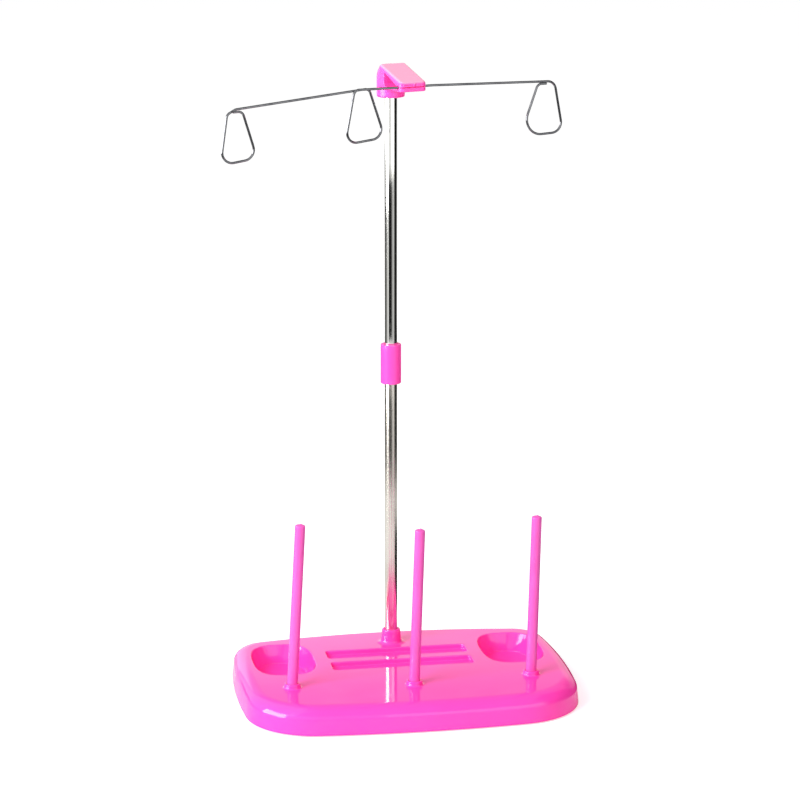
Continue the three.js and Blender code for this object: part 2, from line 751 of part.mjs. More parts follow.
// A curve whose equal parameter steps are the wire's stations
class StationCurve extends THREE.Curve {
  constructor(stations) {
    super();
    this.stations = stations;
  }

  nearest(t) {
    return this.stations[Math.round(t * (this.stations.length - 1))];
  }

  getPoint(t, target = new THREE.Vector3()) {
    return target.copy(this.nearest(t).point);
  }

  getPointAt(u, target) {
    return this.getPoint(u, target);
  }

  getTangent(t, target = new THREE.Vector3()) {
    return target.copy(this.nearest(t).tangent);
  }

  getTangentAt(u, target) {
    return this.getTangent(u, target);
  }
}

function threadGuideWire() {
  const stations = wireStations(wireBends());
  const section = new THREE.Shape();
  const sides = 10;
  for (let i = 0; i < sides; i += 1) {
    const angle = 2 * Math.PI * i / sides;
    const x = WIRE_DIAMETER / 2 * Math.cos(angle);
    const y = WIRE_DIAMETER / 2 * Math.sin(angle);
    if (i === 0) {
      section.moveTo(x, y);
    } else {
      section.lineTo(x, y);
    }
  }
  return weld(new THREE.ExtrudeGeometry(section, {
    steps: stations.length - 1,
    extrudePath: new StationCurve(stations),
    curveSegments: 1,
  }));
}

const pinkPlastic = { color: 0xff5cc0, roughness: 0.28, metalness: 0 };
const softPink = { color: 0xfa70d2, roughness: 0.4, metalness: 0 };
const steel = { color: 0xc9ccd0, roughness: 0.12, metalness: 1 };
const wireSteel = { color: 0xb4b6ba, roughness: 0.18, metalness: 1 };
const rubber = { color: 0x1c1c1e, roughness: 0.85, metalness: 0 };

function piece(name, geometry, look) {
  const mesh = new THREE.Mesh(geometry, new THREE.MeshStandardMaterial(look));
  mesh.name = name;
  return mesh;
}

const stand = new THREE.Group();

const base = piece('base_shell', baseShell(), pinkPlastic);
base.position.z = FOOT_PROUD;
stand.add(base);

for (const { name, x, y } of footPlaces) {
  const foot = piece(name, rubberFoot(), rubber);
  foot.position.set(x, y, 0);
  stand.add(foot);
}

for (const { name, x, y, lean, seated } of pinPlaces) {
  const pin = piece(name, spoolPin(), softPink);
  pin.position.set(x, y, deckZ + COLLAR_HEIGHT);
  pin.rotation.y = degrees(lean);
  pin.translateZ(-seated);
  stand.add(pin);
}

const poleFoot = deckZ + BOSS_HEIGHT - POLE_SOCKET_DEPTH + CLEARANCE;
const webBottom = SLEEVE_BOTTOM + (SLEEVE_LENGTH - SLEEVE_WEB) / 2;
const lowerTube = piece('lower_tube', tube(webBottom - CLEARANCE - poleFoot), steel);
lowerTube.position.z = poleFoot;
stand.add(lowerTube);

const sleeve = piece('coupling_sleeve', couplingSleeve(), pinkPlastic);
sleeve.position.z = SLEEVE_BOTTOM;
stand.add(sleeve);

const upperFoot = webBottom + SLEEVE_WEB + CLEARANCE;
const upperTop = CLIP_BOTTOM + CLIP_SOCKET_DEPTH - CLEARANCE;
const upperTube = piece('upper_tube', tube(upperTop - upperFoot), steel);
upperTube.position.z = upperFoot;
stand.add(upperTube);

const head = new THREE.Group();
head.position.z = CLIP_BOTTOM;
head.rotation.z = degrees(CLIP_TURN);
head.add(piece('guide_clip', guideClip(), pinkPlastic));
head.add(piece('thread_guide_wire', threadGuideWire(), wireSteel));
stand.add(head);

// The stand's origin is the middle of its floor area
const extent = new THREE.Box3().setFromObject(stand, true);
const middle = extent.getCenter(new THREE.Vector3());
stand.position.set(-middle.x, -middle.y, -extent.min.z);

export default stand;
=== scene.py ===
# Thread stand for three cones: base with trays and pins, two-piece pole, clip and bent wire
import math

import bmesh
import bpy
from mathutils import Matrix, Vector
from mathutils.geometry import tessellate_polygon


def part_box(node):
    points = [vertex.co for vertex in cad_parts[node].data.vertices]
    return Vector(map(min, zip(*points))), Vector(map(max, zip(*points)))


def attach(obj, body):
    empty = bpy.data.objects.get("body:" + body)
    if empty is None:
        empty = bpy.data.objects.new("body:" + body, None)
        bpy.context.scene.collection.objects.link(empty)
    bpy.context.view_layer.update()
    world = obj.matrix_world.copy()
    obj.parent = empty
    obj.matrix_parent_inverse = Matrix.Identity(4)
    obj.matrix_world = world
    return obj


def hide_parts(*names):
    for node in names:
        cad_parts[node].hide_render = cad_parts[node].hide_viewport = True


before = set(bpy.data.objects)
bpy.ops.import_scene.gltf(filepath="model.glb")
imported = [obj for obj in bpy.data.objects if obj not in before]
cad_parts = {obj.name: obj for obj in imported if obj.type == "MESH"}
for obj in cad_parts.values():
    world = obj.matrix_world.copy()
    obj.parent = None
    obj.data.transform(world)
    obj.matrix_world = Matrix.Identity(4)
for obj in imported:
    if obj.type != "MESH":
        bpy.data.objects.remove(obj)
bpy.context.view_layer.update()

print("frame loaded")

# The pieces are drawn in millimetres from the pole's axis, and placed in the frame in metres
mm = 0.001
tubeLow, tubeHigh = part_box("lower_tube")
poleX = (tubeLow.x + tubeHigh.x) / 2
poleY = (tubeLow.y + tubeHigh.y) / 2


def place(x, y, z):
    return Vector((poleX + x * mm, poleY + y * mm, z * mm))


class Signal:  # a node's output that takes part in sums
    def __init__(self, tree, socket):
        self.tree = tree
        self.socket = socket

    def combine(self, operation, first, second):
        node = self.tree.nodes.new("ShaderNodeMath")
        node.operation = operation
        for i, value in enumerate((first, second)):
            if isinstance(value, Signal):
                self.tree.links.new(value.socket, node.inputs[i])
            else:
                node.inputs[i].default_value = value
        return Signal(self.tree, node.outputs[0])

    def __add__(self, other):
        return self.combine("ADD", self, other)

    def __radd__(self, other):
        return self.combine("ADD", other, self)

    def __mul__(self, other):
        return self.combine("MULTIPLY", self, other)


class Finish:  # a material and its nodes
    def __init__(self, name):
        self.material = bpy.data.materials.new(name)
        self.material.use_nodes = True
        self.tree = self.material.node_tree
        self.tree.nodes.clear()

    def node(self, kind, settings, values, out=0):
        made = self.tree.nodes.new(kind)
        for key, value in settings.items():
            setattr(made, key, value)
        for key, value in values.items():
            if isinstance(value, Signal):
                self.tree.links.new(value.socket, made.inputs[key])
            else:
                made.inputs[key].default_value = value
        return Signal(self.tree, made.outputs[out] if made.outputs else None)

    def coords(self, stretch, turn=(0, 0, 0), shift=(0, 0, 0)):
        spot = self.node("ShaderNodeTexCoord", {}, {}, "Object")
        return self.node("ShaderNodeMapping", {"vector_type": "POINT"}, {
            "Vector": spot, "Scale": stretch, "Rotation": turn, "Location": shift})

    def noise(self, scale, detail=2.0, stretch=(1, 1, 1), turn=(0, 0, 0), shift=(0, 0, 0)):
        return self.node("ShaderNodeTexNoise", {"noise_dimensions": "3D"}, {
            "Vector": self.coords(stretch, turn, shift), "Scale": scale,
            "Detail": detail, "Roughness": 0.5})

    def fade(self, value, low, high, start=0.0, end=1.0):
        return self.node("ShaderNodeMapRange", {"interpolation_type": "SMOOTHSTEP"}, {
            "Value": value, "From Min": low, "From Max": high, "To Min": start, "To Max": end})

    def blend(self, share, first, second):
        return self.node("ShaderNodeMix", {"data_type": "RGBA"}, {0: share, 6: first, 7: second}, 2)

    def bump(self, height, distance, under=None):
        values = {"Height": height, "Distance": distance, "Strength": 1.0}
        if under is not None:
            values["Normal"] = under
        return self.node("ShaderNodeBump", {}, values)

    def surface(self, values):
        skin = self.node("ShaderNodeBsdfPrincipled", {}, values)
        self.node("ShaderNodeOutputMaterial", {}, {"Surface": skin})
        return self.material


def rgb(red, green, blue):
    # A colour as a screen shows it, in the linear values that a shader takes
    def linear(value):
        value /= 255
        return value / 12.92 if value <= 0.04045 else ((value + 0.055) / 1.055) ** 2.4
    return (linear(red), linear(green), linear(blue), 1.0)


# A painted red glow: a little red emission lifts the red where the light is weak
glossSizes = {"pink": (255, 75, 198), "deep": (254, 70, 191), "rough": 0.05, "smudge": 0.07,
              "hairs": 0.05, "peel": 0.000012, "waviness": 0.00006, "paintedRedGlow": (0.22, 0.0, 0.0, 1)}
paleSizes = {**glossSizes, "pink": (255, 92, 204), "deep": (253, 85, 197)}
# The clip's pink carries a painted sheen on its upward faces
clipSizes = {**paleSizes, "paintedSheen": (255, 184, 221), "sheenFrom": 0.4762, "sheenRise": 0.001,
             "rough": 0.2, "smudge": 0.12}


def glossPink(name, sizes):
    # Polished moulded plastic: faint flow clouds, finger smudges, hairlines and orange peel, with a painted
    # red glow
    finish = Finish(name)
    clouds = finish.fade(finish.noise(14, 3), 0.35, 0.7)
    fine = finish.noise(60, 4, shift=(0.2, 0.1, 0))
    color = finish.blend(clouds * 0.6 + fine * 0.25, rgb(*sizes["pink"]), rgb(*sizes["deep"]))
    if "paintedSheen" in sizes:  # painted sheen: paler where it faces up, above a height, standing in for the top light caught in the gloss
        up = finish.node("ShaderNodeSeparateXYZ", {}, {0: finish.node(
            "ShaderNodeNewGeometry", {}, {}, "Normal")}, "Z")
        height = finish.node("ShaderNodeSeparateXYZ", {}, {0: finish.coords((1, 1, 1))}, "Z")
        start = sizes["sheenFrom"]
        topSheen = finish.fade(up, 0.25, 0.9) * finish.fade(height, start, start + sizes["sheenRise"])
        color = finish.blend(topSheen, color, rgb(*sizes["paintedSheen"]))
    smudge = finish.fade(finish.noise(26, 5, shift=(0.4, 0, 0.3)), 0.48, 0.72)
    hairs = finish.fade(finish.noise(9, 2, stretch=(3, 160, 30), turn=(0, 0, 0.5)), 0.63, 0.7)
    rough = sizes["rough"] + smudge * sizes["smudge"] + hairs * sizes["hairs"]
    wave = finish.bump(finish.noise(22, 1), sizes["waviness"])
    peel = finish.bump(finish.noise(420, 2), sizes["peel"], under=wave)
    # The emission is a painted red glow, not a lamp
    return finish.surface({"Base Color": color, "Roughness": rough, "Normal": peel, "IOR": 1.5,
                           "Emission Color": sizes["paintedRedGlow"], "Emission Strength": 1.0})


satinSizes = {"pink": (255, 98, 199), "deep": (252, 91, 191), "rough": 0.2, "smudge": 0.1,
              "grain": 0.00001}


def satinPink(name, sizes):
    # The pins: softer gloss, with fine lines along them from drawing out of the mould
    finish = Finish(name)
    clouds = finish.fade(finish.noise(30, 3), 0.35, 0.7)
    color = finish.blend(clouds, rgb(*sizes["pink"]), rgb(*sizes["deep"]))
    lines = finish.noise(12, 2, stretch=(90, 90, 2))
    rough = sizes["rough"] + finish.fade(finish.noise(45, 4), 0.45, 0.75) * sizes["smudge"]
    grain = finish.bump(lines + finish.noise(500, 2) * 0.5, sizes["grain"])
    return finish.surface({"Base Color": color, "Roughness": rough, "Normal": grain, "IOR": 1.5})


# The upper tube has bright plating, and the lower one is a warmer, ground steel
brightSizes = {"light": (236, 236, 232), "dark": (224, 223, 216), "rings": 260, "ringDetail": 3,
               "cloud": 38, "cloudShift": (0, 0, 0), "cloudFrom": 0.45, "rough": 0.06,
               "ringRough": 0.03, "depth": 0.000004}
brushedSizes = {"light": (236, 231, 222), "dark": (222, 216, 206), "rings": 420, "ringDetail": 4,
                "cloud": 30, "cloudShift": (0.1, 0.3, 0), "cloudFrom": 0.4, "rough": 0.14,
                "ringRough": 0.06, "depth": 0.00001}


def steelTube(name, sizes):
    # Faint lines round the tube and a few cloudy patches
    finish = Finish(name)
    rings = finish.noise(10, sizes["ringDetail"], stretch=(1, 1, sizes["rings"]))
    cloud = finish.fade(finish.noise(sizes["cloud"], 4, shift=sizes["cloudShift"]), sizes["cloudFrom"], 0.75)
    color = finish.blend(cloud, rgb(*sizes["light"]), rgb(*sizes["dark"]))
    rough = sizes["rough"] + cloud * 0.05 + rings * sizes["ringRough"]
    lines = finish.bump(rings, sizes["depth"])
    return finish.surface({"Base Color": color, "Metallic": 1.0, "Roughness": rough, "Normal": lines})


wireTones = {"light": (136, 137, 140), "dark": (112, 113, 117), "rough": 0.06, "marks": 0.1,
             "depth": 0.000008}


def springWire(name, sizes):
    finish = Finish(name)
    marks = finish.noise(240, 3)
    rough = sizes["rough"] + finish.fade(marks, 0.4, 0.7) * sizes["marks"]
    color = finish.blend(finish.fade(finish.noise(90, 3), 0.4, 0.7),
                         rgb(*sizes["light"]), rgb(*sizes["dark"]))
    return finish.surface({"Base Color": color, "Metallic": 1.0, "Roughness": rough,
                           "Normal": finish.bump(marks, sizes["depth"])})


rubberTones = {"dark": (38, 38, 40), "grey": (58, 57, 58), "rough": 0.72, "grain": 0.15,
               "depth": 0.00005}


def footRubber(name, sizes):
    finish = Finish(name)
    grain = finish.noise(900, 3)
    color = finish.blend(finish.fade(finish.noise(120, 3), 0.4, 0.7),
                         rgb(*sizes["dark"]), rgb(*sizes["grey"]))
    return finish.surface({"Base Color": color, "Roughness": sizes["rough"] + grain * sizes["grain"],
                           "Normal": finish.bump(grain, sizes["depth"])})


pinkGloss = glossPink("pinkGloss", glossSizes)
pinkPale = glossPink("pinkPale", paleSizes)
# The clip's material, with the painted sheen on its upward faces
pinkPaintedSheen = glossPink("pinkPaintedSheen", clipSizes)
pinkSatin = satinPink("pinkSatin", satinSizes)
tubeBright = steelTube("tubeBright", brightSizes)
tubeBrushed = steelTube("tubeBrushed", brushedSizes)
wireSteel = springWire("wireSteel", wireTones)
rubberBlack = footRubber("rubberBlack", rubberTones)
print("materials made")


class Skin:  # points in millimetres and the faces between them
    def __init__(self):
        self.points = []
        self.faces = []

    def ring(self, points):
        start = len(self.points)
        self.points += points
        return list(range(start, len(self.points)))

    def bridge(self, low, high):
        count = len(low)
        for i in range(count):
            j = (i + 1) % count
            self.faces.append((low[i], low[j], high[j], high[i]))

    def stack(self, outlines):
        rings = [self.ring(outline) for outline in outlines]
        for low, high in zip(rings, rings[1:]):
            self.bridge(low, high)
        return rings

    def fill(self, outer, holes=()):
        loops = [outer, *holes]
        flat = [i for loop in loops for i in loop]
        lines = [[Vector(self.points[i][:2]).to_3d() for i in loop] for loop in loops]
        for triangle in tessellate_polygon(lines):
            self.faces.append(tuple(flat[i] for i in triangle))

    def cap(self, ring, point):
        middle = self.ring([point])[0]
        for i, corner in enumerate(ring):
            self.faces.append((corner, ring[(i + 1) % len(ring)], middle))

    def piece(self, name, material, sharp=40):
        mesh = bpy.data.meshes.new(name)
        mesh.from_pydata([place(*point) for point in self.points], [], self.faces)
        return finishPiece(name, mesh, material, sharp)


def finishPiece(name, mesh, material, sharp):
    tidy = bmesh.new()
    tidy.from_mesh(mesh)
    bmesh.ops.remove_doubles(tidy, verts=tidy.verts, dist=1e-7)
    bmesh.ops.recalc_face_normals(tidy, faces=tidy.faces)
    tidy.to_mesh(mesh)
    tidy.free()
    mesh.shade_smooth()
    mesh.set_sharp_from_angle(angle=math.radians(sharp))
    mesh.materials.clear()
    mesh.materials.append(material)
    piece = bpy.data.objects.new(name, mesh)
    bpy.context.collection.objects.link(piece)
    return piece


def fit(piece, body, slot, *nodes):
    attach(piece, body)
    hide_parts(*nodes)


def arc(center, radius, start, end, steps):
    return [(center[0] + radius * math.cos(start + (end - start) * i / steps),
             center[1] + radius * math.sin(start + (end - start) * i / steps))
            for i in range(steps + 1)]


def rounded(corners, steps=5, closed=False):
    # A polyline of (x, y, radius) with its corners turned into arcs
    result = []
    count = len(corners)
    for i, (x, y, radius) in enumerate(corners):
        corner = Vector((x, y))
        if radius == 0 or (not closed and i in (0, count - 1)):
            result.append((x, y))
            continue
        before = (Vector(corners[i - 1][:2]) - corner).normalized()
        after = (Vector(corners[(i + 1) % count][:2]) - corner).normalized()
        half = before.angle(after) / 2
        middle = corner + (before + after).normalized() * radius / math.sin(half)
        first = corner + before * radius / math.tan(half) - middle
        last = corner + after * radius / math.tan(half) - middle
        start = math.atan2(first.y, first.x)
        sweep = math.atan2(first.cross(last), first.dot(last))
        result += arc(middle, radius, start, start + sweep, steps)
    return result


def circle(x, y, radius, z, count=48, stretch=1.0):
    return [(x + radius * stretch * math.cos(2 * math.pi * i / count),
             y + radius * math.sin(2 * math.pi * i / count), z) for i in range(count)]


def turned(skin, profile, spot, count=64):
    # Revolve (radius, height) pairs; spot gives each ring's points their place
    rings = []
    for radius, height in profile:
        if radius > 1e-6:
            rings.append(skin.ring([spot(p[0], p[1], height) for p in circle(0, 0, radius, 0, count)]))
        else:
            rings.append(skin.ring([spot(0, 0, height)]))
    for low, high in zip(rings, rings[1:]):
        if len(low) == 1 or len(high) == 1:
            tip, ring = (low, high) if len(low) == 1 else (high, low)
            for i, corner in enumerate(ring):
                skin.faces.append((corner, ring[(i + 1) % len(ring)], tip[0]))
        else:
            skin.bridge(low, high)
    return rings


# The base
base = {
    "halfWidth": 132, "frontReach": 157, "backReach": 36.7,
    "frontBow": 828, "backBow": 597, "sideBow": 546, "frontCorner": 55.5, "backCorner": 29,
    "bottom": 1.0, "deck": 22.0, "edge": 12.0, "edgeHeight": 10.2, "draft": 1.1, "wall": 2.4,
    "insideEdge": 5.0, "bottomEdge": 0.5, "rim": 0.8, "underEdge": 0.6, "flat": 0.3, "socketPoints": 56,
    "bowSteps": 16, "frontCornerSteps": 20, "sideSteps": 14, "backCornerSteps": 18,
}
tray = {"width": 48.4, "length": 75, "roundness": 2.9, "softening": 0.13, "points": 88,
        "depth": 14.4, "draft": 4.2, "floorEdge": 0.9, "spacing": 183.2, "y": -30.5}
groove = {"width": 112, "length": 18.8, "corner": 3, "depth": 3.8, "draft": 0.3, "floorEdge": 0.6,
          "firstY": -24.9, "spacing": 28.5}
pins = {
    "left": {"x": -93.7, "y": -98.5, "lean": 3.2, "seated": 14.5},
    "middle": {"x": 0.0, "y": -107.0, "lean": 2.0, "seated": 20.5},
    "right": {"x": 93.7, "y": -98.5, "lean": 1.5, "seated": 16.7},
}
collar = {"height": 3.6, "radius": 6.1, "low": 6.4, "flare": 1.6, "flareHeight": 1.6, "edge": 0.8,
          "bore": 4.5, "depth": 21.5}
boss = {"height": 11.4, "radius": 7.2, "low": 8.1, "flare": 3.8, "flareHeight": 3.2, "edge": 1.4,
        "bore": 5.3, "depth": 29.0}


def meeting(first, distanceA, second, distanceB):
    # The rightmost point at these distances from the two centres
    between = second - first
    span = between.length
    along = (distanceA ** 2 - distanceB ** 2 + span ** 2) / (2 * span)
    across = math.sqrt(max(distanceA ** 2 - along ** 2, 0))
    between.normalize()
    normal = Vector((-between.y, between.x))
    return first + between * along + normal * (across if normal.x > 0 else -across)


def baseOutline(inset, z):
    front = Vector((0, base["frontBow"] - base["frontReach"]))
    back = Vector((0, base["backReach"] - base["backBow"]))
    side = Vector((base["halfWidth"] - base["sideBow"], (base["backReach"] - base["frontReach"]) / 2))
    frontCorner = meeting(front, base["frontBow"] - base["frontCorner"],
                          side, base["sideBow"] - base["frontCorner"])
    backCorner = meeting(back, base["backBow"] - base["backCorner"],
                         side, base["sideBow"] - base["backCorner"])

    def angle(start, end):
        return math.atan2(end.y - start.y, end.x - start.x)

    half = arc(front, base["frontBow"] - inset, -math.pi / 2, angle(front, frontCorner),
               base["bowSteps"])
    half += arc(frontCorner, base["frontCorner"] - inset,
                angle(front, frontCorner), angle(side, frontCorner), base["frontCornerSteps"])[1:]
    half += arc(side, base["sideBow"] - inset,
                angle(side, frontCorner), angle(side, backCorner), base["sideSteps"])[1:]
    half += arc(backCorner, base["backCorner"] - inset,
                angle(side, backCorner), angle(back, backCorner), base["backCornerSteps"])[1:]
    half += arc(back, base["backBow"] - inset,
                angle(back, backCorner), math.pi / 2, base["bowSteps"])[1:]
    mirrored = [(-x, y) for x, y in half[-2:0:-1]]
    return [(x, y, z) for x, y in half + mirrored]


def pocketOutline(sizes, x, y, grow, z):
    if "roundness" in sizes:  # the trays bow out on all sides, with softer corners further down
        reachX, reachY = sizes["width"] / 2 + grow, sizes["length"] / 2 + grow
        power = 2 / (sizes["roundness"] + sizes["softening"] * min(grow, 0))
        turns = [2 * math.pi * i / sizes["points"] for i in range(sizes["points"])]
        return [(x + reachX * math.copysign(abs(math.cos(t)) ** power, math.cos(t)),
                 y + reachY * math.copysign(abs(math.sin(t)) ** power, math.sin(t)), z) for t in turns]
    points = []
    cornerX = sizes["width"] / 2 - sizes["corner"]
    cornerY = sizes["length"] / 2 - sizes["corner"]
    for i, (signX, signY) in enumerate(((1, -1), (1, 1), (-1, 1), (-1, -1))):
        points += arc((x + signX * cornerX, y + signY * cornerY), sizes["corner"] + grow,
                      (i - 1) * math.pi / 2, i * math.pi / 2, 12)
    return [(px, py, z) for px, py in points]


def sockets():
    # Each post on the deck: its sizes, its place and how its bore leans
    posts = [(collar, pin["x"], pin["y"], math.tan(math.radians(pin["lean"]))) for pin in pins.values()]
    return [*posts, (boss, 0, 0, 0.0)]


# Turns through a quarter circle, for the rounded edges
quarter = [math.pi / 2 * i / 14 for i in range(15)]


def addWall(skin):
    # The outer skin and the hollow's skin, from the bottom edge up to the deck
    deck, wall, edge, rise = base["deck"], base["wall"], base["edge"], base["edgeHeight"]
    bottom, lip, draft, flat = base["bottom"], base["bottomEdge"], base["draft"], base["flat"]
    outside = [baseOutline(lip * (1 - math.sin(bend)), bottom + lip * (1 - math.cos(bend)))
               for bend in quarter[::7]]
    bendZ = deck - rise
    for share in (0.25, 0.5, 0.75):
        outside.append(baseOutline(draft * share, bottom + lip + (bendZ - bottom - lip) * share))
    outside += [baseOutline(draft + edge * (1 - math.cos(bend)), bendZ + rise * math.sin(bend))
                for bend in quarter]
    outside.append(baseOutline(draft + edge + flat / 2, deck))
    outer = skin.stack(outside)
    inner, under = base["insideEdge"], deck - wall
    inside = [baseOutline(wall - flat, bottom), baseOutline(wall, bottom + flat),
              baseOutline(draft + wall, under - inner)]
    inside += [baseOutline(draft + wall + inner * (1 - math.cos(bend)),
                           under - inner + inner * math.sin(bend)) for bend in quarter[1::3]]
    inside.append(baseOutline(draft + wall + inner, under))
    cavity = skin.stack(inside)
    skin.bridge(outer[0], cavity[0])
    return outer[-1], cavity[-1]


def addPocket(skin, sizes, x, y):
    # A pocket in the deck and its shell below; returns the loops where they meet the skins
    deck, wall, rim, soft = base["deck"], base["wall"], base["rim"], base["underEdge"]
    draft, edge = sizes["draft"], sizes["floorEdge"]
    floor, under = deck - sizes["depth"], deck - wall

    def outline(grow, z):
        return pocketOutline(sizes, x, y, grow, z)

    inside = [outline(rim + 0.1, deck)]
    inside += [outline(rim * (1 - math.cos(bend)), deck - rim * (1 - math.sin(bend)))
               for bend in reversed(quarter[::2])]
    inside += [outline(-(draft + edge * (1 - math.sin(bend))), floor + edge * (1 - math.cos(bend)))
               for bend in reversed(quarter[::2])]
    inside.append(outline(-(draft + edge + base["flat"]), floor))
    above = skin.stack(inside)
    skin.fill(above[-1])
    low = floor - wall
    below = skin.stack([outline(wall + soft, under), outline(wall, under - soft),
                        outline(wall - draft, low + edge),
                        outline(wall - draft - edge * 0.3, low + edge * 0.3),
                        outline(wall - draft - edge, low)])
    skin.fill(below[-1])
    return above[0], below[0]


def addSocket(skin, sizes, x, y, lean):
    # A flared post with its bore, and its lower end in the hollow
    deck, wall, flat, soft = base["deck"], base["wall"], base["flat"], base["underEdge"]
    low, flare, spread, bore = sizes["low"], sizes["flare"], sizes["flareHeight"], sizes["bore"]
    top, under = deck + sizes["height"], deck - wall
    foot = top - sizes["depth"]
    profile = [(low + flare + flat, deck)]
    profile += [(low + flare * (1 - i / 8) ** 2, deck + spread * (i / 8) ** 2) for i in range(9)]
    profile += rounded([(low, deck + spread, 0), (sizes["radius"], top, sizes["edge"]), (bore, top, 0)],
                       6)[1:-1]
    profile.append((bore + flat, top))
    count = base["socketPoints"]
    rings = [circle(x, y, radius, z, count) for radius, z in profile]
    rings += [circle(x + lean * (z - top), y, bore, z, count)
              for z in (top - flat, top - 4, foot + 4, foot)]
    above = skin.stack(rings)
    skin.cap(above[-1], (x - lean * sizes["depth"], y, foot))
    end = foot - wall
    below = skin.stack([circle(x, y, radius, z, count) for radius, z in (
        (low + 1, under), (low, under - 1), (low, end + soft), (low - soft, end))])
    skin.cap(below[-1], (x, y, end))
    return above[0], below[0]


def makeBase():
    skin = Skin()
    outer, cavity = addWall(skin)
    pockets = [(tray, -tray["spacing"] / 2, tray["y"]), (tray, tray["spacing"] / 2, tray["y"]),
               (groove, 0, groove["firstY"]), (groove, 0, groove["firstY"] - groove["spacing"])]
    holes = [addPocket(skin, *pocket) for pocket in pockets]
    holes += [addSocket(skin, *socket) for socket in sockets()]
    skin.fill(outer, [above for above, below in holes])
    skin.fill(cavity, [below for above, below in holes])
    return skin


# Ribs under the deck, and the posts that hold the feet
rib = {"thickness": 1.8, "recess": 6.0, "intoDeck": 1.2, "fromBoss": 7.5, "fromCollar": 6.0,
       "fromWall": 5, "fromTray": 2, "fromGroove": 11, "sideEnd": 126.5, "frontEnd": -143,
       "slantFrom": 5.7, "slantShift": 0.5, "sideFrom": 5.8}
footPost = {"radius": 7.1, "pocket": 5.3, "seat": 1.9, "shoulder": 16.5, "neck": 3.9, "top": 20.4}
feet = {"front_left": (-88, -130), "front_right": (88, -130), "back_left": (-88, 18.5),
        "back_right": (88, 18.5)}


def ribLines():
    # Each rib's run in plan, from (x, y) to (x, y)
    edge = (tray["spacing"] - tray["width"]) / 2
    outerX, outerY, middleY = pins["right"]["x"], pins["right"]["y"], pins["middle"]["y"]
    boss, gap, wall = rib["fromBoss"], rib["fromCollar"], rib["fromWall"]
    shift = rib["slantShift"]
    lines = [(-edge, 0, -boss, 0), (boss, 0, edge, 0), (0, boss, 0, base["backReach"] - wall),
             (0, groove["firstY"] - groove["spacing"] - rib["fromGroove"], 0, middleY + gap),
             (0, middleY - gap, 0, wall - base["frontReach"])]
    trayEnd = tray["y"] - tray["length"] / 2 - rib["fromTray"]
    for side in (-1, 1):
        x = side * outerX
        lines += [(side * (outerX - rib["slantFrom"]), outerY - shift, side * gap, middleY + shift),
                  (side * (outerX + rib["sideFrom"]), outerY, side * rib["sideEnd"], outerY),
                  (x, trayEnd, x, outerY + gap), (x, outerY - gap, x, rib["frontEnd"])]
    return lines


def ribTree():
    tree = bpy.data.node_groups.new("ribRun", "GeometryNodeTree")
    tree.interface.new_socket("Lines", in_out="INPUT", socket_type="NodeSocketGeometry")
    for name in ("Thickness", "Height"):
        tree.interface.new_socket(name, in_out="INPUT", socket_type="NodeSocketFloat")
    tree.interface.new_socket("Material", in_out="INPUT", socket_type="NodeSocketMaterial")
    tree.interface.new_socket("Ribs", in_out="OUTPUT", socket_type="NodeSocketGeometry")
    add, link = tree.nodes.new, tree.links.new
    given, result = add("NodeGroupInput"), add("NodeGroupOutput")
    path = add("GeometryNodeMeshToCurve")
    upright = add("GeometryNodeSetCurveNormal")
    upright.mode = "Z_UP"
    section = add("GeometryNodeCurvePrimitiveQuadrilateral")
    sweep = add("GeometryNodeCurveToMesh")
    sweep.inputs["Fill Caps"].default_value = True
    real, paint = add("GeometryNodeRealizeInstances"), add("GeometryNodeSetMaterial")
    link(given.outputs["Lines"], path.inputs["Mesh"])
    link(path.outputs[0], upright.inputs["Curve"])
    link(upright.outputs[0], sweep.inputs["Curve"])
    link(given.outputs["Thickness"], section.inputs["Height"])
    link(given.outputs["Height"], section.inputs["Width"])
    link(section.outputs[0], sweep.inputs["Profile Curve"])
    link(sweep.outputs[0], real.inputs[0])
    link(real.outputs[0], paint.inputs["Geometry"])
    link(given.outputs["Material"], paint.inputs["Material"])
    link(paint.outputs[0], result.inputs[0])
    return tree


def grow(tree, name, points, edges, inputs, attributes=None):
    # Run a tree on a line mesh and return what it makes as a plain mesh
    mesh = bpy.data.meshes.new(name)
    mesh.from_pydata(points, edges, [])
    for key, values in (attributes or {}).items():
        mesh.attributes.new(key, "FLOAT", "POINT").data.foreach_set("value", values)
    carrier = bpy.data.objects.new(name, mesh)
    bpy.context.collection.objects.link(carrier)
    modifier = carrier.modifiers.new(name, "NODES")
    modifier.node_group = tree
    sockets = {item.name: item.identifier for item in tree.interface.items_tree if item.in_out == "INPUT"}
    for key, value in inputs.items():
        modifier[sockets[key]] = value
    bpy.context.view_layer.update()
    made = bpy.data.meshes.new_from_object(carrier.evaluated_get(bpy.context.evaluated_depsgraph_get()))
    bpy.data.objects.remove(carrier)
    return made


def join(name, meshes, material, sharp):
    whole = bmesh.new()
    for mesh in meshes:
        whole.from_mesh(mesh)
    mesh = bpy.data.meshes.new(name)
    whole.to_mesh(mesh)
    whole.free()
    return finishPiece(name, mesh, material, sharp)


def shifted(x, y):
    # Where a turned form's points go when its axis stands at this place
    return lambda px, py, z: (x + px, y + py, z)


